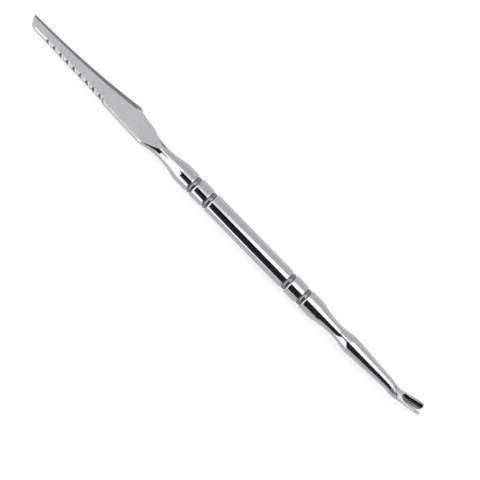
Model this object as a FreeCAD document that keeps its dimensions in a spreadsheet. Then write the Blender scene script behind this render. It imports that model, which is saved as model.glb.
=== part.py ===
import FreeCAD, Part
import math
import os

import Sketcher

# Double-ended steel cuticle pusher, in millimetres.
# The origin is the middle of the grip, on its axis. +X runs along the tool towards the fork,
# +Z is up as the tool lies on a table, and the blade's sharp back is on the +Y side.
# Every turned piece is threaded on one tie rod that lies on the X axis.

# alias, value, meaning (lengths in millimetres, angles in degrees)
DIMENSIONS = [
    ("grip_radius", 2.6, "outside of the grip, the beads and the collars"),
    ("grip_half", 13.05, "half the length of the grip sleeve"),
    ("bead_width", 4.15, "length of a bead ring"),
    ("spacer_width", 1.1, "width of the groove between two pieces"),
    ("spacer_radius", 2.36, "crown of the spacer ring in a groove"),
    ("spacer_shoulder", 2.16, "rim of the spacer ring where it meets its neighbours"),
    ("edge_round", 0.38, "rounded edge of the turned pieces"),
    ("rod_radius", 1.25, "tie rod"),
    ("rod_clearance", 0.05, "gap between the tie rod and what is threaded on it"),
    ("rod_reach", 25.4, "end of the tie rod, from the middle"),
    ("rod_chamfer", 0.3, "chamfer on the ends of the tie rod"),
    ("socket_depth", 26.0, "bottom of the threaded sockets, from the middle"),
    ("socket_tip", 26.5, "end of the drill cone in the sockets"),
    ("chisel_radius", 0.1, "small flat that a drill or a grinding point leaves at its centre"),
    ("collar_end", 22.9, "where a collar starts to narrow"),
    ("flare_x", 24.3, "end of the collar's rounded corner"),
    ("flare_radius", 2.40, "radius there"),
    ("waist_x", 29.8, "thinnest place of a neck"),
    ("waist_radius", 1.68, "radius there"),
    # blade end
    ("blade_hollow_x", 33.4, "end of the hollow between the neck and the blade"),
    ("blade_hollow_radius", 2.08, "radius there"),
    ("blade_shoulder_x", 34.5, "rising shoulder of the blade"),
    ("blade_shoulder_radius", 2.46, "radius there"),
    ("blade_cheek_x", 35.6, "where the shoulder meets the blade's outline"),
    ("blade_cheek_radius", 2.73, "radius there"),
    ("blank_x", 41.0, "where the turned blank reaches its full radius"),
    ("blank_radius", 4.4, "radius of the blank that the blade is cut from"),
    ("blank_end", 77.0, "end of the blank"),
    ("blade_roll", -22, "turn of the blade about the tool's axis"),
    ("root_x", 34.4, "start of the cut outline"),
    ("root_back", 2.95, "back edge there"),
    ("root_edge", 2.56, "fluted edge's side there"),
    ("nape_x", 36.2, "end of the hollow behind the heel"),
    ("nape_y", 2.96, "back edge there"),
    ("nape_hollow", 15.0, "radius of that hollow"),
    ("heel_inner_x", 40.3, "inner end of the rounded heel"),
    ("heel_inner_y", 3.88, "back edge there"),
    ("heel_outer_x", 42.1, "outer end of the rounded heel"),
    ("heel_outer_y", 4.01, "back edge there"),
    ("heel_round", 2.5, "radius of the heel"),
    ("tip_x", 74.9, "point of the blade"),
    ("tip_y", 1.50, "its height"),
    ("back_hollow", 232.0, "radius of the long hollow back"),
    ("nose_x", 74.15, "end of the nose's straight face"),
    ("nose_y", 0.08, "its depth"),
    ("belly_x", 72.0, "start of the fluted edge"),
    ("belly_y", 1.37, "its depth"),
    ("nose_round", 3.2, "radius between the nose and the fluted edge"),
    ("step_outer_x", 48.8, "end of the fluted edge"),
    ("step_outer_y", 1.86, "its depth"),
    ("step_inner_x", 47.4, "start of the plain edge"),
    ("step_inner_y", 2.23, "its depth"),
    ("step_round", 2.6, "radius of the step between the two"),
    ("cheek_x", 36.4, "end of the plain edge"),
    ("cheek_y", 2.53, "its depth"),
    ("face_tip", 0.60, "half the thickness beyond the tip"),
    ("face_heel", 0.80, "half the thickness at the heel"),
    ("face_end", 40.0, "end of the flat face"),
    ("face_wheel", 50.0, "radius of the run-out from the face to the neck"),
    ("face_clear", 3.0, "height that the face cuts reach up to"),
    ("knife_half", 0.05, "half the thickness left at the sharp back edge"),
    ("wall_half", 0.52, "half the height of the square wall on the fluted edge"),
    ("wall_inset", 0.81, "inset of the back's bevel at the top of that wall"),
    ("bevel_height", 0.85, "height that the bevels reach up to"),
    ("bevel_inset", 1.38, "inset of the back's bevel at that height"),
    ("waste", 6.0, "half-width of the waste that is cut away around the blade"),
    ("waste_end", 78.0, "end of that waste"),
    ("flute_count", 9, "flutes along the edge"),
    ("flute_pitch", 2.27, "distance between flutes"),
    ("flute_first_x", 49.95, "flute nearest the heel"),
    ("flute_first_y", 1.84, "fluted edge there"),
    ("flute_radius", 1.0, "radius of the wheel's rim"),
    ("flute_height", 1.55, "height of the flute's axis over the edge"),
    ("flute_slant", 50, "slant of the flutes in the plan"),
    ("flute_tilt", 45, "fall of the flutes towards the edge"),
    ("flute_row_angle", 178.8, "direction of the row of flutes, from +X"),
    # fork end
    ("fork_hollow_x", 33.4, "end of the hollow between the neck and the shoulder"),
    ("fork_hollow_radius", 2.11, "radius there"),
    ("fork_shoulder_x", 35.0, "crown of the shoulder"),
    ("fork_shoulder_radius", 2.27, "radius there"),
    ("fork_roll", -42, "turn of the fork about the tool's axis"),
    ("cone_taper", 0.0614, "narrowing of the cone per length"),
    ("section_start", 44.4, "first round section of the fork"),
    ("section_spacing", 0.7, "distance between the sections"),
    ("bend_dip", 0.60, "depth of the bend before the fork"),
    ("bend_x", 51.16, "deepest place of the bend"),
    ("bend_width", 2.09, "half-length of the bend"),
    ("rise_slope", 0.294, "climb of the fork after the bend"),
    ("rise_x", 50.45, "start of the climb"),
    ("rise_soft", 0.96, "length over which the climb sets in"),
    ("flare", 0.964, "growth of the radius from the bend to the tips"),
    ("flare_middle", 53.67, "place where half of it is reached"),
    ("flare_soft", 1.79, "length over which it grows"),
    ("rim_start_x", 51.2, "where the fork's rim begins"),
    ("rim_start_height", 1.50, "height of the rim there"),
    ("rim_low_x", 53.9, "where the rim starts to follow the fork"),
    ("rim_low_height", 0.98, "height of the rim there"),
    ("rim_end_height", 2.66, "height of the rim beyond the tips"),
    ("rim_hollow", 4.0, "radius of the hollow between the two"),
    ("fork_waste", 2.6, "half-width of the waste cut away around the fork"),
    ("fork_waste_end", 59.0, "end of that waste"),
    ("near_tip_x", 58.2, "tip of the upper prong"),
    ("far_tip_x", 57.8, "tip of the lower prong"),
    ("prong_tip_y", 1.15, "middle of a prong's tip, from the fork's axis"),
    ("prong_outer_x", 56.4, "where a prong's outer side starts to round"),
    ("prong_outer_y", 1.85, "its distance from the fork's axis"),
    ("prong_inner_x", 56.9, "where a prong's inner side starts to round"),
    ("prong_inner_y", 0.42, "its distance from the fork's axis"),
    ("prong_outer_round", 1.6, "radius of the outer corner"),
    ("prong_inner_round", 1.0, "radius of the inner corner"),
    ("crotch_x", 53.8, "bottom of the notch"),
    ("crotch_y", 0.10, "half-width of the notch there"),
    ("trough_x", 53.3, "centre of the trough's round end"),
    ("trough_height", 0.78, "height of that centre"),
    ("trough_slope", 18.2, "climb of the trough towards the tips"),
    ("trough_length", 6.0, "length of the trough from that centre"),
    ("trough_start_radius", 1.05, "radius of the trough's round end"),
    ("trough_end_radius", 1.45, "radius of the trough at its mouth"),
]

# The blade's outline from the neck over the back to the tip and along the fluted edge to the neck:
# x, y, how the point moves inwards up to the top of the edge's wall and up to the bevel's height,
# each as a share of the back's inset there, and for an arc that leads to the point its radius, the
# side of its centre, and how much the radius grows per inset.
BLADE_OUTLINE = [
    ("-dims.root_x", "dims.root_back", (0, -0.1), (0, -0.2)),
    ("-dims.nape_x", "dims.nape_y", (0, -0.2), (0, -0.35)),
    ("-dims.heel_inner_x", "dims.heel_inner_y", (0.2, -0.4), (0.2, -0.4), "dims.nape_hollow", -1, 0),
    ("-dims.heel_outer_x", "dims.heel_outer_y", (0.1, -1), (0.1, -1), "dims.heel_round", 1, 1),
    ("-dims.tip_x", "dims.tip_y", (0.3, -0.8), (0.4, -0.8), "dims.back_hollow", -1, 1),
    ("-dims.nose_x", "-dims.nose_y", (0, 0), (0.2, 0.07)),
    ("-dims.belly_x", "-dims.belly_y", (0, 0), (0.04, 0.84), "dims.nose_round", 1, -1),
    ("-dims.step_outer_x", "-dims.step_outer_y", (0, 0), (0, 0.4)),
    ("-dims.step_inner_x", "-dims.step_inner_y", (0, 0), (0, 0.35), "dims.step_round", 1, 0),
    ("-dims.cheek_x", "-dims.cheek_y", (0, 0), (0, 0.22)),
    ("-dims.root_x", "-dims.root_edge", (0, 0), (0, 0.1)),
]

Z_AXIS = FreeCAD.Vector(0, 0, 1)
CUTTING_FEATURES = (
    "PartDesign::Groove",
    "PartDesign::Pocket",
    "PartDesign::SubtractiveLoft",
    "PartDesign::LinearPattern",
)
LEAST_CUT = 0.05  # cubic millimetres
WALL_SHARE, TOP_SHARE, FIRST_ARC_FIELD = 2, 3, 4  # places in a row of the blade's outline
SECTION_COUNT = 21  # round sections of the fork
FULL_TURN = 360
ORIGIN = (-1, 1)
H_AXIS = -1
V_AXIS = -2
START, END, CENTRE = 1, 2, 3
COLLAR_FACE = "(dims.grip_half + dims.bead_width + 2 * dims.spacer_width)"


def fill_sheet(doc):
    """The spreadsheet of driving dimensions."""
    sheet = doc.addObject("Spreadsheet::Sheet", "dims")
    for row, (alias, value, meaning) in enumerate(DIMENSIONS, start=1):
        sheet.set(f"A{row}", meaning)
        sheet.set(f"B{row}", str(value))
        sheet.setAlias(f"B{row}", alias)
    doc.recompute()


def make_body(doc, name):
    body = doc.addObject("PartDesign::Body", name)
    body.Label = name
    return body


def origin_feature(body, role):
    return next(item for item in body.Origin.OriginFeatures if item.Role == role)


def attach(item, support, roll=None, lift=None, axis=FreeCAD.Vector(1, 0, 0)):
    """Lay an object on a plane, turned by roll about the axis and lifted along the plane's normal."""
    item.AttachmentSupport = (support, [""])
    item.MapMode = "FlatFace"
    angle = item.evalExpression(roll) if roll else 0
    height = item.evalExpression(lift) if lift else 0
    item.AttachmentOffset = FreeCAD.Placement(
        FreeCAD.Vector(0, 0, height), FreeCAD.Rotation(axis, angle))
    if roll:
        item.setExpression("AttachmentOffset.Rotation.Angle", roll)
    if lift:
        item.setExpression("AttachmentOffset.Base.z", lift)


def rolled_plane(body, name, role, roll):
    """A datum plane: one of the origin's planes turned about the tool's axis."""
    plane = body.newObject("PartDesign::Plane", name)
    attach(plane, origin_feature(body, role), roll=roll)
    return plane


def add_sketch(body, name, support, **how):
    sketch = body.newObject("Sketcher::SketchObject", name)
    attach(sketch, support, **how)
    return sketch


def plane_sketch(body, name, role, **how):
    """A sketch on one of the origin's planes."""
    return add_sketch(body, name, origin_feature(body, role), **how)


def bind(sketch, kind, expression, *references):
    """A dimension of the sketch that follows an expression of the sheet."""
    value = sketch.evalExpression(expression)
    index = sketch.addConstraint(Sketcher.Constraint(kind, *references, value))
    sketch.setExpression(f"Constraints[{index}]", expression)


def pin_point(sketch, point, x, y):
    """Hold a point of the sketch at (x, y)."""
    for kind, expression, axis in (("DistanceX", x, V_AXIS), ("DistanceY", y, H_AXIS)):
        if expression == "0":
            sketch.addConstraint(Sketcher.Constraint("PointOnObject", *point, axis))
        else:
            bind(sketch, kind, expression, *ORIGIN, *point)


def draw_circle(sketch, height, radius):
    """A circle centred on the sketch's vertical axis."""
    centre = FreeCAD.Vector(0, sketch.evalExpression(height), 0)
    circle = Part.Circle(centre, Z_AXIS, sketch.evalExpression(radius))
    edge = sketch.addGeometry(circle)
    pin_point(sketch, (edge, CENTRE), "0", height)
    bind(sketch, "Radius", radius, edge)


def arc_through(start, end, radius, side):
    """Arc from start to end whose centre is on the left (1) or the right (-1) of the way."""
    chord = end - start
    half = chord.Length / 2
    sagitta = radius - math.sqrt(radius * radius - half * half)
    right = FreeCAD.Vector(chord.y, -chord.x, 0).normalize()
    middle = (start + end) / 2 + right * (sagitta * side)
    if side > 0:
        return Part.Arc(start, middle, end)
    return Part.Arc(end, middle, start)


def draw_outline(sketch, corners):
    """Closed outline. A corner is (x, y) or (x, y, radius, side of the centre of its arc)."""
    places = [
        FreeCAD.Vector(sketch.evalExpression(corner[0]), sketch.evalExpression(corner[1]), 0)
        for corner in corners
    ]
    count = len(corners)
    starts = []
    ends = []
    for index in range(count):
        following = (index + 1) % count
        target = corners[following]
        if len(target) == 2:
            edge = sketch.addGeometry(Part.LineSegment(places[index], places[following]))
            starts.append((edge, START))
            ends.append((edge, END))
            continue
        radius = sketch.evalExpression(target[2])
        arc = arc_through(places[index], places[following], radius, target[3])
        edge = sketch.addGeometry(arc)
        order = (START, END) if target[3] > 0 else (END, START)
        starts.append((edge, order[0]))
        ends.append((edge, order[1]))
        bind(sketch, "Radius", target[2], edge)
    for index in range(count):
        following = (index + 1) % count
        sketch.addConstraint(Sketcher.Constraint("Coincident", *ends[index], *starts[following]))
        pin_point(sketch, starts[index], corners[index][0], corners[index][1])


def revolve(body, kind, name, corners):
    """A Revolution or a Groove about the X axis, from a closed profile of (x, radius) corners."""
    sketch = plane_sketch(body, f"{name}_profile", "XY_Plane")
    draw_outline(sketch, corners)
    feature = body.newObject(f"PartDesign::{kind}", name)
    feature.Profile = sketch
    feature.ReferenceAxis = (sketch, ["H_Axis"])
    feature.Angle = FULL_TURN


def cut_through(body, name, sketch):
    """A pocket right through the body, both ways from its sketch."""
    feature = body.newObject("PartDesign::Pocket", name)
    feature.Profile = sketch
    feature.Type = "ThroughAll"
    feature.SideType = "Symmetric"
    return feature


def loft(body, kind, name, sketches, ruled):
    feature = body.newObject(f"PartDesign::{kind}", name)
    feature.Profile = sketches[0]
    feature.Sections = sketches[1:]
    feature.Ruled = ruled


def tangent_radius(run, rise):
    """Radius of an arc that starts level and climbs by rise over run."""
    return f"(({run}) ^ 2 + ({rise}) ^ 2) / (2 * ({rise}))"


def ring(doc, name, start, width):
    """A plain ring with rounded outer edges, bored to slide over the tie rod."""
    body = make_body(doc, name)
    inner = "dims.rod_radius + dims.rod_clearance"
    round_start = "dims.grip_radius - dims.edge_round"
    finish = f"{start} + {width}"
    revolve(body, "Revolution", f"{name}_turning", [
        (start, inner),
        (finish, inner),
        (finish, round_start),
        (f"{finish} - dims.edge_round", "dims.grip_radius", "dims.edge_round", 1),
        (f"{start} + dims.edge_round", "dims.grip_radius"),
        (start, round_start, "dims.edge_round", 1),
    ])
    return body


def spacer(doc, name, start):
    """A slim ring with a crowned rim that fills one groove."""
    body = make_body(doc, name)
    inner = "dims.rod_radius + dims.rod_clearance"
    crown = tangent_radius("dims.spacer_width / 2", "dims.spacer_radius - dims.spacer_shoulder")
    finish = f"{start} + dims.spacer_width"
    revolve(body, "Revolution", f"{name}_turning", [
        (start, inner),
        (finish, inner),
        (finish, "dims.spacer_shoulder"),
        (start, "dims.spacer_shoulder", crown, 1),
    ])
    return body


def tie_rod(doc):
    """The stud that holds the ends, beads, spacers and grip together."""
    body = make_body(doc, "tie_rod")
    thread_end = "dims.rod_reach - dims.rod_chamfer"
    chamfered = "dims.rod_radius - dims.rod_chamfer"
    revolve(body, "Revolution", "tie_rod_turning", [
        ("-dims.rod_reach", "0"),
        ("dims.rod_reach", "0"),
        ("dims.rod_reach", chamfered),
        (thread_end, "dims.rod_radius"),
        (f"-({thread_end})", "dims.rod_radius"),
        ("-dims.rod_reach", chamfered),
    ])
    return body


def neck_profile(side):
    """Corners of a collar and its neck, from the collar's face to the waist.

    side is 1 on the fork's side and -1 on the blade's."""
    corner = tangent_radius(
        "dims.flare_x - dims.collar_end", "dims.grip_radius - dims.flare_radius")
    hollow = tangent_radius(
        "dims.waist_x - dims.flare_x", "dims.flare_radius - dims.waist_radius")
    round_end = f"{side} * ({COLLAR_FACE} + dims.edge_round)"
    return [
        (f"{side} * {COLLAR_FACE}", "0"),
        (f"{side} * {COLLAR_FACE}", "dims.grip_radius - dims.edge_round"),
        (round_end, "dims.grip_radius", "dims.edge_round", -side),
        (f"{side} * dims.collar_end", "dims.grip_radius"),
        (f"{side} * dims.flare_x", "dims.flare_radius", corner, -side),
        (f"{side} * dims.waist_x", "dims.waist_radius", hollow, side),
    ]


def bore_socket(body, side):
    """The threaded socket in a collar, with the drill's cone at its bottom."""
    revolve(body, "Groove", f"{body.Name}_socket", [
        (f"{side} * {COLLAR_FACE}", "0"),
        (f"{side} * {COLLAR_FACE}", "dims.rod_radius"),
        (f"{side} * dims.socket_depth", "dims.rod_radius"),
        (f"{side} * dims.socket_tip", "dims.chisel_radius"),
        (f"{side} * dims.socket_tip", "0"),
    ])


def blade_blank(body):
    """Collar, neck, shoulder and the round blank that the blade is cut from."""
    hollow = tangent_radius(
        "dims.blade_hollow_x - dims.waist_x", "dims.blade_hollow_radius - dims.waist_radius")
    revolve(body, "Revolution", "blade_blank", neck_profile(-1) + [
        ("-dims.blade_hollow_x", "dims.blade_hollow_radius", hollow, -1),
        ("-dims.blade_shoulder_x", "dims.blade_shoulder_radius"),
        ("-dims.blade_cheek_x", "dims.blade_cheek_radius"),
        ("-dims.blank_x", "dims.blank_radius"),
        ("-dims.blank_end", "dims.blank_radius"),
        ("-dims.blank_end", "0"),
    ])


def blade_faces(body, side_plane):
    """The two flat faces, each ending in the wheel's run-out onto the neck."""
    sketch = add_sketch(body, "blade_face_cuts", side_plane)
    climb = "dims.face_clear - dims.face_heel"
    run = f"sqrt(2 * dims.face_wheel * ({climb}) - ({climb}) ^ 2)"
    for sign in (1, -1):
        draw_outline(sketch, [
            ("-dims.waste_end", f"{sign} * dims.face_tip"),
            ("-dims.face_end", f"{sign} * dims.face_heel"),
            (f"-dims.face_end + {run}", f"{sign} * dims.face_clear", "dims.face_wheel", sign),
            (f"-dims.face_end + {run}", f"{sign} * dims.waste"),
            ("-dims.waste_end", f"{sign} * dims.waste"),
        ])
    cut_through(body, "blade_faces", sketch)


def bevel_section(body, plane, name, level, share, inset):
    """The waste around the blade at one level, with the outline moved inwards.

    share is the place of the point's movement in its row of the outline, or None for no movement."""
    sketch = add_sketch(body, name, plane, lift=level)
    corners = []
    for row in BLADE_OUTLINE:
        x, y = row[:2]
        inward = row[share] if share else (0, 0)
        corner = (f"{x} + {inward[0]} * {inset}", f"{y} + {inward[1]} * {inset}")
        if len(row) > FIRST_ARC_FIELD:
            radius, side, growth = row[FIRST_ARC_FIELD:]
            corner += (f"{radius} + {growth} * {inset}", side)
        corners.append(corner)
    corners += [
        ("-dims.root_x", "-dims.waste"),
        ("-dims.waste_end", "-dims.waste"),
        ("-dims.waste_end", "dims.waste"),
        ("-dims.root_x", "dims.waste"),
    ]
    draw_outline(sketch, corners)
    return sketch


def blade_outline(body, plane):
    """Cut the blade's outline: a square wall along the fluted edge, and bevels on both faces."""
    levels = [
        ("clear", "dims.face_clear", TOP_SHARE, "dims.bevel_inset"),
        ("bevel", "dims.bevel_height", TOP_SHARE, "dims.bevel_inset"),
        ("wall", "dims.wall_half", WALL_SHARE, "dims.wall_inset"),
        ("knife", "dims.knife_half", None, "0"),
    ]
    sketches = []
    for name, level, share, inset in levels:
        sketches.append(bevel_section(body, plane, f"lower_{name}", f"-{level}", share, inset))
    for name, level, share, inset in reversed(levels):
        sketches.append(bevel_section(body, plane, f"upper_{name}", level, share, inset))
    loft(body, "SubtractiveLoft", "blade_outline", sketches, True)


def blade_flutes(body, plane, side_plane):
    """The row of slanted flutes ground across the upper bevel and the wall of the edge."""
    sketch = add_sketch(body, "flute_circle", side_plane)
    tilt = FreeCAD.Rotation(
        0, sketch.evalExpression("dims.flute_slant"), sketch.evalExpression("dims.flute_tilt"))
    sketch.AttachmentOffset = FreeCAD.Placement(FreeCAD.Vector(0, 0, 0), tilt)
    for path, expression in (
            ("Rotation.Pitch", "dims.flute_slant"),
            ("Rotation.Roll", "dims.flute_tilt"),
            ("Base.x", "-dims.flute_first_x"),
            ("Base.y", "dims.flute_height"),
            ("Base.z", "dims.flute_first_y")):
        sketch.setExpression(f"AttachmentOffset.{path}", expression)
    draw_circle(sketch, "0", "dims.flute_radius")
    flute = cut_through(body, "flute", sketch)

    row = add_sketch(body, "flute_row", plane, roll="dims.flute_row_angle", axis=Z_AXIS)
    pattern = body.newObject("PartDesign::LinearPattern", "flutes")
    pattern.Originals = [flute]
    pattern.Direction = (row, ["H_Axis"])
    pattern.setExpression("Length", "dims.flute_pitch * (dims.flute_count - 1)")
    pattern.setExpression("Occurrences", "dims.flute_count")
    body.Tip = pattern


def blade_end(doc):
    """Collar, neck and fluted blade, in one piece."""
    body = make_body(doc, "blade_end")
    plane = rolled_plane(body, "blade_plane", "XY_Plane", "dims.blade_roll")
    side_plane = rolled_plane(body, "blade_side_plane", "XZ_Plane", "dims.blade_roll")
    blade_blank(body)
    blade_faces(body, side_plane)
    blade_outline(body, plane)
    bore_socket(body, -1)
    blade_flutes(body, plane, side_plane)
    return body


def cone_radius(station):
    """Radius of the long cone at a distance along the tool."""
    return f"(dims.fork_shoulder_radius - dims.cone_taper * ({station} - dims.fork_shoulder_x))"


def soft_step(distance, softness):
    """Climbs from -1 to 1 around a distance of 0."""
    return f"({distance}) / sqrt(({distance}) ^ 2 + {softness} ^ 2)"


def section_height(station):
    """Centre of the fork's round section: a dip, then a steady climb towards the tips."""
    climbed = f"({station} - dims.rise_x)"
    dip = f"dims.bend_dip / exp((({station} - dims.bend_x) / dims.bend_width) ^ 2)"
    return f"dims.rise_slope / 2 * ({climbed} + sqrt({climbed} ^ 2 + dims.rise_soft ^ 2)) - {dip}"


def section_radius(station):
    """Radius of the fork's round section: the cone's, growing beyond the bend."""
    growth = soft_step(f"{station} - dims.flare_middle", "dims.flare_soft")
    return f"{cone_radius(station)} + dims.flare / 2 * (1 + {growth})"


def fork_blank(body):
    """Collar, neck, shoulder and the long cone down to the fork."""
    hollow = tangent_radius(
        "dims.fork_hollow_x - dims.waist_x", "dims.fork_hollow_radius - dims.waist_radius")
    crown = tangent_radius(
        "dims.fork_shoulder_x - dims.fork_hollow_x",
        "dims.fork_shoulder_radius - dims.fork_hollow_radius")
    revolve(body, "Revolution", "fork_blank", neck_profile(1) + [
        ("dims.fork_hollow_x", "dims.fork_hollow_radius", hollow, 1),
        ("dims.fork_shoulder_x", "dims.fork_shoulder_radius", crown, -1),
        ("dims.section_start", section_radius("dims.section_start")),
        ("dims.section_start", "0"),
    ])


def fork_bend(body):
    """The bent, flaring end of the cone that the fork is ground from."""
    sketches = []
    for index in range(SECTION_COUNT):
        station = f"(dims.section_start + {index} * dims.section_spacing)"
        sketch = plane_sketch(
            body, f"section_{index}", "YZ_Plane", roll="dims.fork_roll", lift=station, axis=Z_AXIS)
        draw_circle(sketch, section_height(station), section_radius(station))
        sketches.append(sketch)
    loft(body, "AdditiveLoft", "fork_bend", sketches, False)


def fork_rim(body):
    """Cut the fork down to the line of its rim."""
    sketch = plane_sketch(body, "rim_cut", "XZ_Plane", roll="dims.fork_roll")
    draw_outline(sketch, [
        ("dims.rim_start_x", "dims.rim_start_height"),
        ("dims.rim_low_x", "dims.rim_low_height", "dims.rim_hollow", 1),
        ("dims.fork_waste_end", "dims.rim_end_height"),
        ("dims.fork_waste_end", "dims.waste"),
        ("dims.rim_start_x", "dims.waste"),
    ])
    cut_through(body, "fork_rim", sketch)


def fork_trough(body):
    """The round-ended trough ground along the fork, as a turned cut about its own axis."""
    sketch = plane_sketch(body, "trough_profile", "XZ_Plane", roll="dims.fork_roll")

    def place(along, across):
        """A point of the trough's profile, from the centre of its round end."""
        return (
            f"dims.trough_x + ({along}) * cos(dims.trough_slope) - ({across}) * sin(dims.trough_slope)",
            f"dims.trough_height + ({along}) * sin(dims.trough_slope)"
            f" + ({across}) * cos(dims.trough_slope)",
        )

    start = "dims.trough_start_radius"
    flat = f"-sqrt({start} ^ 2 - dims.chisel_radius ^ 2)"
    draw_outline(sketch, [
        place(flat, "0"),
        place(flat, "-dims.chisel_radius"),
        place("0", f"-{start}") + (start, 1),
        place("dims.trough_length", "-dims.trough_end_radius"),
        place("dims.trough_length", "0"),
    ])
    ends = [place(flat, "0"), place("dims.trough_length", "0")]
    spots = [FreeCAD.Vector(*[sketch.evalExpression(text) for text in end], 0) for end in ends]
    axis = sketch.addGeometry(Part.LineSegment(*spots), True)
    for position, end in zip((START, END), ends):
        pin_point(sketch, (axis, position), *end)
    feature = body.newObject("PartDesign::Groove", "fork_trough")
    feature.Profile = sketch
    feature.ReferenceAxis = (sketch, ["Axis0"])
    feature.Angle = FULL_TURN


def fork_prongs(body):
    """Cut the notch between the prongs and round their tips."""
    sketch = plane_sketch(body, "prong_outline", "XY_Plane", roll="dims.fork_roll")
    outer = ("dims.prong_outer_x", "dims.prong_outer_y")
    inner = ("dims.prong_inner_x", "dims.prong_inner_y")
    draw_outline(sketch, [
        ("dims.fork_waste_end", "dims.fork_waste"),
        ("dims.prong_outer_x", "dims.fork_waste"),
        outer,
        ("dims.far_tip_x", "dims.prong_tip_y", "dims.prong_outer_round", -1),
        inner + ("dims.prong_inner_round", -1),
        ("dims.crotch_x", "dims.crotch_y"),
        ("dims.crotch_x", "-dims.crotch_y"),
        (inner[0], f"-{inner[1]}"),
        ("dims.near_tip_x", "-dims.prong_tip_y", "dims.prong_inner_round", -1),
        (outer[0], f"-{outer[1]}", "dims.prong_outer_round", -1),
        ("dims.prong_outer_x", "-dims.fork_waste"),
        ("dims.fork_waste_end", "-dims.fork_waste"),
    ])
    cut_through(body, "fork_prongs", sketch)


def fork_end(doc):
    """Collar, neck, cone and the two-pronged fork, in one piece."""
    body = make_body(doc, "fork_end")
    fork_blank(body)
    fork_bend(body)
    fork_rim(body)
    fork_trough(body)
    fork_prongs(body)
    bore_socket(body, 1)
    return body


def handle(doc):
    """Grip, beads and spacers, in the order they lie on the tie rod."""
    grip = "dims.grip_half"
    bead = "(dims.grip_half + dims.spacer_width)"
    outer = f"({bead} + dims.bead_width)"
    return [
        spacer(doc, "blade_outer_spacer", f"-{outer} - dims.spacer_width"),
        ring(doc, "blade_bead_ring", f"-{outer}", "dims.bead_width"),
        spacer(doc, "blade_inner_spacer", f"-{bead}"),
        ring(doc, "grip_sleeve", f"-{grip}", "2 * dims.grip_half"),
        spacer(doc, "fork_inner_spacer", grip),
        ring(doc, "fork_bead_ring", bead, "dims.bead_width"),
        spacer(doc, "fork_outer_spacer", outer),
    ]


def removes_material(feature):
    """Whether a cutting feature takes more than a trace off what it cuts."""
    return feature.Shape.Volume < feature.BaseFeature.Shape.Volume - LEAST_CUT


def check(doc, bodies):
    """Stop if any object failed, any cut missed, or any piece isn't one valid solid."""
    for item in doc.Objects:
        if "Invalid" in item.State or "Error" in item.State:
            raise RuntimeError(f"{item.Name} failed: {item.State}")
        if item.TypeId in CUTTING_FEATURES and not removes_material(item):
            raise RuntimeError(f"{item.Name} cuts nothing")
    for body in bodies:
        shape = body.Shape
        if shape.isNull() or not shape.isValid() or len(shape.Solids) != 1:
            raise RuntimeError(f"{body.Label} isn't one valid solid")


def main():
    doc = FreeCAD.newDocument("cuticle_pusher")
    fill_sheet(doc)
    bodies = [blade_end(doc), fork_end(doc), tie_rod(doc)] + handle(doc)
    doc.recompute()
    check(doc, bodies)
    os.makedirs("parts", exist_ok=True)
    for body in bodies:
        body.Shape.exportStep(f"parts/{body.Label}.step")
        print(f"{body.Label}: {body.Shape.Volume:.2f} mm3")


main()
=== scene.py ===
import bpy
import math

from mathutils import Euler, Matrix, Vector


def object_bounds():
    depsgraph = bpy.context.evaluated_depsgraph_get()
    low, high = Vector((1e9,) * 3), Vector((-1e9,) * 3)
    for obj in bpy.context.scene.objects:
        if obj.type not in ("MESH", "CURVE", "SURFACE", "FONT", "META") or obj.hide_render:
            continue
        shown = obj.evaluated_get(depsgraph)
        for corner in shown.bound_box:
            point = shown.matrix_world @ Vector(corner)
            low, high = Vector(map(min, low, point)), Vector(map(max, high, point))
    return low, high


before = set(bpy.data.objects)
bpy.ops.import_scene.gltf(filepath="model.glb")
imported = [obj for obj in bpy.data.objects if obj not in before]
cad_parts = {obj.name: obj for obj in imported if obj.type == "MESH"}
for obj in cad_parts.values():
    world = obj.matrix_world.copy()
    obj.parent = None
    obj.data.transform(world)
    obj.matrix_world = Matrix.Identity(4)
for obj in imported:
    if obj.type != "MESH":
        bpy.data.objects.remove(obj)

MM = 0.001
CAD_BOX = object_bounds()
FLOOR_LEVEL = CAD_BOX[0].z

# The camera looks straight down on the tool, which lies from the upper left to the lower right.
VIEW_CENTRE = Vector((-1.66, -1.38, 0)) * MM
VIEW_WIDTH = 115.4 * MM
VIEW_TURN = math.radians(45.64)
CAMERA_HEIGHT = 0.6
SENSOR = 36.0
NEAREST = 0.01

FLOOR_SIZE = 3000
FLOOR_ALBEDO = 0.25
FLOOR_ROUGHNESS = 0.9
FLOOR_GLOW = 0.72

# The light tent: a roof of pale cloth over the tool with a bright panel and a black card on it,
# and the camera's arm between the roof and the tool.
# Places and softnesses on the roof and on the arm are in millimetres, from the point above the
# grip's middle. PANEL_BACK, CARD_FRONT and CARD_LEFT are edges: a range along one axis, and the
# place along the other at both its ends.
ROOF_HALF = 1500
ROOF_HEIGHT = 0.4
PALE = 0.95
BRIGHT = 2.6
BLACK = 0.015
PANEL_BACK = (-40, 60, 200, 470)
PANEL_DIM = (-46, -6, 0.62)
CARD_BACK = 30
CARD_FRONT = (400, 600, -740, -1500)
CARD_LEFT = (-640, 0, -20, -78)
EDGE_SOFT = 14
DIM_SOFT = 16
PANEL_SOFT = 50
FRONT_FADE = (-20, 60)
ARM_CENTRE = (-26, -10)
ARM_REACH = (56, 32)
ARM_HEIGHT = 0.2
ARM_CORNERS = 48

# A dark stand far out beyond the fork, as ranges of direction over which it darkens the walls.
STAND_X = (0.44, 0.54)
STAND_Y = (-0.3, -0.5)

# The blade is turned about the tool's axis: the direction across its flat face, and the face's own.
BLADE_ROLL = math.radians(22)
ACROSS_BLADE = (0, math.cos(BLADE_ROLL), -math.sin(BLADE_ROLL))
OFF_BLADE = (0, math.sin(BLADE_ROLL), math.cos(BLADE_ROLL))
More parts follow.
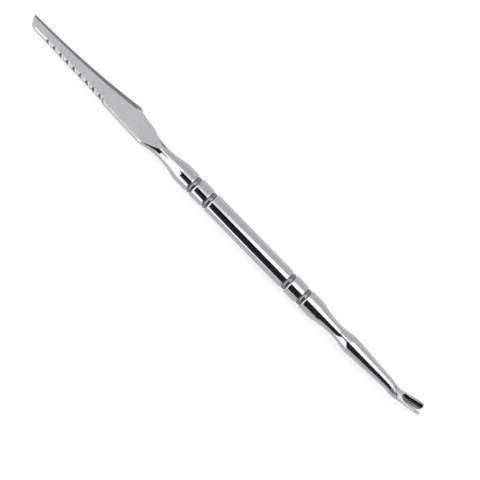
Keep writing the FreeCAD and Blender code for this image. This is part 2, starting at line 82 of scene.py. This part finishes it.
# Stretches of the blade along the tool, in millimetres, with their softness.
BLADE_START = (-29.5, -30.5)
EDGE_START = (-35.9, -36.5)
FLUTES = (-68.8, -49.2, 0.6)
# The shoulder stretch carries painted shade under the face.
SHOULDER = (-35.0, -32.0, 0.35)
# Which way a surface of the blade looks: how far off the flat face, and how far across it.
FACE_OFF = (0.955, 0.985)
# The back bevel is darkened with painted shade.
BACK_ACROSS = (0.42, 0.75, 0.05)
EDGE_ACROSS = (-0.90, -0.30, 0.05)
FLUTES_ACROSS = (-0.15, -0.35)
SHOULDER_ACROSS = (-0.87, -0.36, 0.04)

# The bend before the fork, and the crease across its upper side: a point on the crease, the
# direction across it, and its half width with its softness. Painted shade darkens the crease
# where the surface faces up.
BEND = (49.1, 52.9, 0.3)
CREASE_AT = (50.45, 0.07, 0.0)
CREASE_ACROSS = (0.62, 0.78, 0.0)
CREASE_BAND = (-0.12, 0.12, 0.05)
UPPER_SIDE = (0.6, 0.8)

# The trough between the prongs, darkened with painted shade: the centre of its round end, its
# direction, and its radius.
TROUGH_START = (53.3, 0.522, 0.580)
TROUGH_WAY = (0.950, 0.209, 0.232)
TROUGH_RADIUS = 1.05
TROUGH_GROWTH = 0.067
TROUGH_RIM = (0.06, 0.02)

# Steel: the bluish cast of its colour, and what wear does along the edges. The fork's much
# brighter edge tint is partly wear and partly a painted highlight.
COOL = 1.02
SHARP_EDGE = 0.05
SOFT_EDGE = 0.12
FORK_EDGE = 0.25
EDGE_SAMPLES = 6
WEAR_AND_HIGHLIGHT_EDGE = (0.99, 0.85)
WEAR_TINT = 0.06
# The fork's edge tint: wear and a painted highlight along its rims.
FORK_WEAR_AND_HIGHLIGHT_TINT = 0.38
WEAR_ROUGHNESS = 0.08

# Finishes of the steel: tint and roughness. The dark tints of the groove rings, the blade's back
# bevel and shoulder, and the fork's crease and trough are painted shade.
TURNED = (0.42, 0.05)
NECK = (0.42, 0.06)
# The groove rings: rougher steel, with a dark tint that is painted shade in the recess.
SHADED_GROOVE = (0.19, 0.24)
ROD = (0.36, 0.30)
BLADE_FACE = (0.47, 0.26)
# The back bevel: ground steel, with a dark tint that is painted shade (a painted dark reflection).
BLADE_BACK_SHADED = (0.17, 0.30)
BLADE_EDGE = (0.27, 0.12)
FLUTED_EDGE = (0.48, 0.38)
# The shoulder under the blade face: a dark tint that is painted shade (a painted dark reflection).
BLADE_SHOULDER_SHADE = (0.05, 0.12)
FORK_BEND = (0.40, 0.38)
# Painted shade along the fork's crease.
FORK_CREASE_SHADE = (0.12, 0.30)
# Painted shade in the fork's trough.
FORK_TROUGH_SHADE = (0.10, 0.22)

# Marks on the steel: spots per millimetre along each axis, and how much they change the tint,
# the roughness and the height in millimetres. Smudges and stains have finer detail than lines.
POLISHING_LINES = ((3.0, 0.1, 0.1), 0.06, 0.03, 0.0004)
POLISHING_SMUDGES = ((0.35, 0.5, 0.5), 0.04, 0.05, 0.0)
SCRATCHES = ((0.6, 12.0, 12.0), 0.02, 0.03, 0.0002)
GROOVE_LINES = ((9.0, 0.3, 0.3), 0.08, 0.10, 0.0012)
GROOVE_STAINS = ((1.5, 1.5, 1.5), 0.06, 0.06, 0.0)
ROD_LINES = ((0.4, 9.0, 9.0), 0.08, 0.10, 0.0010)
ROD_STAINS = ((1.2, 1.2, 1.2), 0.05, 0.06, 0.0)
BLADE_LINES = ((0.25, 7.0, 7.0), 0.05, 0.08, 0.0010)
TROUGH_LINES = ((0.4, 8.0, 8.0), 0.04, 0.08, 0.0010)
LINE_DETAIL = 2.0
STAIN_DETAIL = 4.0


# ---------------------------------------------------------------- node helpers

def node(tree, kind, inputs=None, **settings):
    """A shader node with its settings, and its inputs set to values or linked to sockets."""
    made = tree.nodes.new(kind)
    for name, value in settings.items():
        setattr(made, name, value)
    for key, value in (inputs or {}).items():
        socket = made.inputs[key]
        if isinstance(value, bpy.types.NodeSocket):
            tree.links.new(value, socket)
        else:
            socket.default_value = value
    return made


def calc(tree, operation, first, second=0.0):
    """The result of a Math node; the operations on one value ignore second."""
    return node(tree, "ShaderNodeMath", {0: first, 1: second}, operation=operation).outputs[0]


def ramp(tree, value, low, high, to_low=0.0, to_high=1.0, kind="SMOOTHSTEP"):
    """A value carried from one range to another and held at its ends, with soft ends by default."""
    return node(
        tree, "ShaderNodeMapRange",
        {"Value": value, "From Min": low, "From Max": high, "To Min": to_low, "To Max": to_high},
        interpolation_type=kind).outputs["Result"]


def band(tree, value, low, high, soft):
    """1 between low and high, fading over soft on either side."""
    rise = ramp(tree, value, low - soft, low + soft)
    fall = ramp(tree, value, high - soft, high + soft, 1.0, 0.0)
    return calc(tree, "MULTIPLY", rise, fall)


def mixed(tree, share, first, second):
    """first where share is 0, second where it is 1."""
    return ramp(tree, share, 0, 1, first, second, "LINEAR")


# ---------------------------------------------------------------- studio

def make_camera():
    """The camera above the tool, far enough off to see it almost without perspective."""
    data = bpy.data.cameras.new("camera")
    data.sensor_width = SENSOR
    data.lens = SENSOR * CAMERA_HEIGHT / VIEW_WIDTH
    data.clip_start = NEAREST
    camera = bpy.data.objects.new("camera", data)
    camera.location = VIEW_CENTRE + Vector((0, 0, CAMERA_HEIGHT))
    camera.rotation_euler = Euler((0, 0, VIEW_TURN))
    bpy.context.scene.collection.objects.link(camera)
    bpy.context.scene.camera = camera


def flat_sheet(name, corners, height, material):
    """A level sheet of the studio, with its corners in millimetres and its height in metres."""
    mesh = bpy.data.meshes.new(name)
    mesh.from_pydata([(x * MM, y * MM, height) for x, y in corners], [], [range(len(corners))])
    mesh.materials.append(material)
    sheet = bpy.data.objects.new(name, mesh)
    bpy.context.scene.collection.objects.link(sheet)
    return sheet


def floor_material():
    """White paper that gives off light of its own, so that it stays white."""
    material = bpy.data.materials.new("floor_white")
    material.use_nodes = True
    shader = material.node_tree.nodes["Principled BSDF"]
    shader.inputs["Base Color"].default_value = (FLOOR_ALBEDO,) * 3 + (1,)
    shader.inputs["Roughness"].default_value = FLOOR_ROUGHNESS
    shader.inputs["Specular IOR Level"].default_value = 0.0
    shader.inputs["Emission Color"].default_value = (1, 1, 1, 1)
    shader.inputs["Emission Strength"].default_value = FLOOR_GLOW
    return material


def panel_material(name, strength, shading=None):
    """Light given off by a panel; shading(tree, x, y) scales it over the panel, in millimetres."""
    material = bpy.data.materials.new(name)
    material.use_nodes = True
    tree = material.node_tree
    tree.nodes.clear()
    glow = strength
    if shading:
        place = node(tree, "ShaderNodeTexCoord").outputs["Object"]
        parts = node(tree, "ShaderNodeSeparateXYZ", {0: place}).outputs
        x = calc(tree, "DIVIDE", parts["X"], MM)
        y = calc(tree, "DIVIDE", parts["Y"], MM)
        glow = calc(tree, "MULTIPLY", shading(tree, x, y), strength)
    light = node(tree, "ShaderNodeEmission", {"Color": (1, 1, 1, 1), "Strength": glow})
    node(tree, "ShaderNodeOutputMaterial", {"Surface": light.outputs[0]})
    return material


def roof_shading(tree, x, y):
    """Brightness over the roof: pale cloth, the bright panel and the black card."""
    card_front = ramp(tree, x, *CARD_FRONT)
    in_front = ramp(tree, calc(tree, "SUBTRACT", card_front, y), -EDGE_SOFT, EDGE_SOFT)

    # The panel ends in front of the card beyond the fade, and is dimmed over a stretch behind it.
    panel_back = ramp(tree, x, *PANEL_BACK, kind="LINEAR")
    bright = ramp(tree, calc(tree, "SUBTRACT", panel_back, y), -PANEL_SOFT, PANEL_SOFT)
    faded = calc(tree, "MULTIPLY", in_front, ramp(tree, x, *FRONT_FADE))
    bright = calc(tree, "MULTIPLY", bright, calc(tree, "SUBTRACT", 1.0, faded))
    dim_start, dim_end, dimming = PANEL_DIM
    dim = calc(tree, "MULTIPLY", band(tree, x, dim_start, dim_end, DIM_SOFT),
               ramp(tree, y, 0, CARD_BACK))
    bright = calc(tree, "MULTIPLY", bright, mixed(tree, dim, 1, 1 - dimming))

    card_left = ramp(tree, y, *CARD_LEFT, kind="LINEAR")
    inside = ramp(tree, calc(tree, "SUBTRACT", x, card_left), -EDGE_SOFT, EDGE_SOFT)
    behind = ramp(tree, y, CARD_BACK - EDGE_SOFT, CARD_BACK + EDGE_SOFT)
    outside = calc(tree, "MAXIMUM", in_front, behind)
    card = calc(tree, "MULTIPLY", inside, calc(tree, "SUBTRACT", 1.0, outside))
    cloth = mixed(tree, bright, PALE, BRIGHT)
    return calc(tree, "MULTIPLY", cloth, mixed(tree, card, 1.0, BLACK))


def square(half):
    """Corners of a square about the middle."""
    return [(-half, -half), (half, -half), (half, half), (-half, half)]


def oval(centre, reach, corners):
    """Corners of an oval with its centre and its reach along x and y."""
    turns = [2 * math.pi * corner / corners for corner in range(corners)]
    return [(centre[0] + reach[0] * math.cos(turn), centre[1] + reach[1] * math.sin(turn))
            for turn in turns]


def make_studio():
    """The floor, and the roof and the arm that only the steel reflects."""
    flat_sheet("floor", square(FLOOR_SIZE / 2), FLOOR_LEVEL, floor_material())
    roof = flat_sheet("tent_roof", square(ROOF_HALF), ROOF_HEIGHT,
                      panel_material("tent_light", 1.0, roof_shading))
    roof.visible_camera = False
    arm = flat_sheet("camera_arm", oval(ARM_CENTRE, ARM_REACH, ARM_CORNERS), ARM_HEIGHT,
                     panel_material("arm_black", BLACK))
    arm.visible_camera = False


def make_light():
    """The walls of the light tent, with a dark stand far out beyond the fork."""
    world = bpy.data.worlds.new("studio")
    bpy.context.scene.world = world
    world.use_nodes = True
    tree = world.node_tree
    direction = node(tree, "ShaderNodeTexCoord").outputs["Generated"]
    parts = node(tree, "ShaderNodeSeparateXYZ", {0: direction}).outputs
    stand = calc(tree, "MULTIPLY", ramp(tree, parts["X"], *STAND_X),
                 ramp(tree, parts["Y"], *STAND_Y))
    background = tree.nodes["Background"]
    background.inputs["Color"].default_value = (1, 1, 1, 1)
    tree.links.new(mixed(tree, stand, PALE, BLACK), background.inputs["Strength"])


# ---------------------------------------------------------------- steel

def dot(tree, first, second):
    """The dot product of two vectors."""
    return node(tree, "ShaderNodeVectorMath", {0: first, 1: second},
                operation="DOT_PRODUCT").outputs["Value"]


def grain(tree, place, stretch, detail):
    """Noise around zero; stretch is the number of spots per millimetre along each axis."""
    spot = node(tree, "ShaderNodeVectorMath", {0: place, 1: stretch}, operation="MULTIPLY")
    noise = node(tree, "ShaderNodeTexNoise",
                 {"Vector": spot.outputs[0], "Detail": detail, "Scale": 1.0})
    return calc(tree, "SUBTRACT", noise.outputs["Fac"], 0.5)


class Steel:
    """A steel surface: tint and roughness that each layer of detail changes in turn."""

    def __init__(self, name, tint, roughness):
        self.material = bpy.data.materials.new(name)
        self.material.use_nodes = True
        self.tree = self.material.node_tree
        self.shader = self.tree.nodes["Principled BSDF"]
        self.shader.inputs["Metallic"].default_value = 1.0
        metres = node(self.tree, "ShaderNodeTexCoord").outputs["Object"]
        self.place = node(self.tree, "ShaderNodeVectorMath", {0: metres, "Scale": 1 / MM},
                          operation="SCALE").outputs[0]
        self.tint = tint
        self.roughness = roughness
        self.height = 0.0

    def zone(self, share, tint, roughness):
        """Another finish where share is 1."""
        self.tint = mixed(self.tree, share, self.tint, tint)
        self.roughness = mixed(self.tree, share, self.roughness, roughness)

    def marks(self, stretch, tint, roughness, height, share=1.0, detail=LINE_DETAIL):
        """Polishing or grinding lines, scratches or smudges, where share is 1."""
        lines = calc(self.tree, "MULTIPLY", grain(self.tree, self.place, stretch, detail), share)
        self.tint = calc(self.tree, "ADD", self.tint, calc(self.tree, "MULTIPLY", lines, tint))
        rougher = calc(self.tree, "MULTIPLY", lines, roughness)
        self.roughness = calc(self.tree, "ADD", self.roughness, rougher)
        higher = calc(self.tree, "MULTIPLY", lines, height)
        self.height = calc(self.tree, "ADD", self.height, higher)

    def finish(self, edge, wear_and_highlight_tint=WEAR_TINT):
        """Round and wear the edges over a width in millimetres, and join all to the shader. The
        tint added along the edges is wear, and on the fork, where it is much larger, also a painted
        highlight.
        """
        tree = self.tree
        plain = node(tree, "ShaderNodeNewGeometry").outputs["Normal"]
        rounded = node(tree, "ShaderNodeBevel", {"Radius": edge * MM},
                       samples=EDGE_SAMPLES).outputs["Normal"]
        # The edge mask carries wear, and on the fork also a painted highlight.
        edge_wear_and_highlight = ramp(tree, dot(tree, plain, rounded), *WEAR_AND_HIGHLIGHT_EDGE)
        tint = calc(tree, "ADD", self.tint, calc(tree, "MULTIPLY", edge_wear_and_highlight, wear_and_highlight_tint))
        roughness = calc(tree, "ADD", self.roughness, calc(tree, "MULTIPLY", edge_wear_and_highlight, WEAR_ROUGHNESS))
        colour = node(tree, "ShaderNodeCombineColor", {
            0: tint, 1: tint, 2: calc(tree, "MULTIPLY", tint, COOL)}).outputs[0]
        bump = node(tree, "ShaderNodeBump", {
            "Height": calc(tree, "MULTIPLY", self.height, MM), "Distance": 1.0, "Strength": 1.0,
            "Normal": rounded})
        tree.links.new(colour, self.shader.inputs["Base Color"])
        tree.links.new(roughness, self.shader.inputs["Roughness"])
        tree.links.new(bump.outputs[0], self.shader.inputs["Normal"])
        return self.material


def polish(steel):
    """The lines a polishing wheel leaves around a turned piece, smudges and a few scratches."""
    steel.marks(*POLISHING_LINES)
    steel.marks(*POLISHING_SMUDGES, detail=STAIN_DETAIL)
    steel.marks(*SCRATCHES)


def turned_steel():
    """The polished grip and beads."""
    steel = Steel("turned_steel", *TURNED)
    polish(steel)
    return steel.finish(SOFT_EDGE)


def shaded_groove_steel():
    """The rings in the grooves: rougher where the polishing wheel doesn't reach, and darkened with
    painted shade in the recess.
    """
    steel = Steel("shaded_groove_steel", *SHADED_GROOVE)
    steel.marks(*GROOVE_LINES)
    steel.marks(*GROOVE_STAINS, detail=STAIN_DETAIL)
    return steel.finish(SHARP_EDGE)


def rod_steel():
    """The drawn tie rod, with the lines of drawing along it."""
    steel = Steel("rod_steel", *ROD)
    steel.marks(*ROD_LINES)
    steel.marks(*ROD_STAINS, detail=STAIN_DETAIL)
    return steel.finish(SHARP_EDGE)


def blade_steel():
    """Polished neck, satin faces with grinding lines along them, a ground back bevel darkened with
    painted shade (a painted dark reflection), a duller fluted edge, and painted shade on the
    shoulder under the face."""
    steel = Steel("blade_steel", *NECK)
    polish(steel)
    tree = steel.tree
    normal = node(tree, "ShaderNodeNewGeometry").outputs["Normal"]
    along = node(tree, "ShaderNodeSeparateXYZ", {0: steel.place}).outputs["X"]
    across = dot(tree, normal, ACROSS_BLADE)
    off_face = calc(tree, "ABSOLUTE", dot(tree, normal, OFF_BLADE))
    blade = ramp(tree, along, *BLADE_START)
    face = calc(tree, "MULTIPLY", ramp(tree, off_face, *FACE_OFF), blade)
    back = calc(tree, "MULTIPLY", band(tree, across, *BACK_ACROSS), blade)
    edge = calc(tree, "MULTIPLY", ramp(tree, along, *EDGE_START),
                band(tree, across, *EDGE_ACROSS))
    fluted = calc(tree, "MULTIPLY", band(tree, along, *FLUTES),
                  ramp(tree, across, *FLUTES_ACROSS))
    shoulder = calc(tree, "MULTIPLY", band(tree, along, *SHOULDER),
                    band(tree, across, *SHOULDER_ACROSS))
    steel.zone(edge, *BLADE_EDGE)
    steel.zone(fluted, *FLUTED_EDGE)
    # Painted shade on the shoulder under the face.
    steel.zone(shoulder, *BLADE_SHOULDER_SHADE)
    steel.zone(face, *BLADE_FACE)
    # Painted shade darkens the back bevel's ground steel.
    steel.zone(back, *BLADE_BACK_SHADED)
    steel.marks(*BLADE_LINES, share=calc(tree, "ADD", face, back))
    return steel.finish(SHARP_EDGE)


def trough_share(tree, place):
    """1 on the surface of the trough and 0 beside it: the trough is a cone with a round end."""
    offset = node(tree, "ShaderNodeVectorMath", {0: place, 1: TROUGH_START}, operation="SUBTRACT")
    along = calc(tree, "MAXIMUM", dot(tree, offset.outputs[0], TROUGH_WAY), 0.0)
    reached = node(tree, "ShaderNodeVectorMath", {0: TROUGH_WAY, "Scale": along}, operation="SCALE")
    apart = node(tree, "ShaderNodeVectorMath", {0: offset.outputs[0], 1: reached.outputs[0]},
                 operation="DISTANCE").outputs["Value"]
    radius = calc(tree, "ADD", calc(tree, "MULTIPLY", along, TROUGH_GROWTH), TROUGH_RADIUS)
    return ramp(tree, calc(tree, "SUBTRACT", apart, radius), *TROUGH_RIM)


def fork_steel():
    """Polished like the neck, duller in the bend, with painted shade along the crease and in the
    trough the grinding point left, grinding lines in the trough, and edges brightened by wear and a
    painted highlight.
    """
    steel = Steel("fork_steel", *NECK)
    polish(steel)
    tree = steel.tree
    normal = node(tree, "ShaderNodeNewGeometry").outputs["Normal"]
    along = node(tree, "ShaderNodeSeparateXYZ", {0: steel.place}).outputs["X"]
    upward = node(tree, "ShaderNodeSeparateXYZ", {0: normal}).outputs["Z"]
    offset = node(tree, "ShaderNodeVectorMath", {0: steel.place, 1: CREASE_AT},
                  operation="SUBTRACT").outputs[0]
    bend = band(tree, along, *BEND)
    crease = calc(tree, "MULTIPLY", band(tree, dot(tree, offset, CREASE_ACROSS), *CREASE_BAND),
                  bend)
    crease = calc(tree, "MULTIPLY", crease, ramp(tree, upward, *UPPER_SIDE))
    trough = trough_share(tree, steel.place)
    steel.zone(bend, *FORK_BEND)
    # Painted shade along the crease.
    steel.zone(crease, *FORK_CREASE_SHADE)
    # Painted shade in the trough.
    steel.zone(trough, *FORK_TROUGH_SHADE)
    steel.marks(*TROUGH_LINES, share=trough)
    return steel.finish(FORK_EDGE, FORK_WEAR_AND_HIGHLIGHT_TINT)


def dress_nodes():
    """Give every piece of the tool its steel."""
    turned = turned_steel()
    groove = shaded_groove_steel()
    skins = {"blade_end": blade_steel(), "fork_end": fork_steel(), "tie_rod": rod_steel()}
    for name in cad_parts:
        # The spacers in the grooves get the steel darkened with painted shade.
        skin = skins.get(name) or (groove if "spacer" in name else turned)
        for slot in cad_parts[name].material_slots:
            slot.material = skin


make_camera()
make_studio()
make_light()
dress_nodes()
bpy.context.scene.view_settings.view_transform = "Standard"
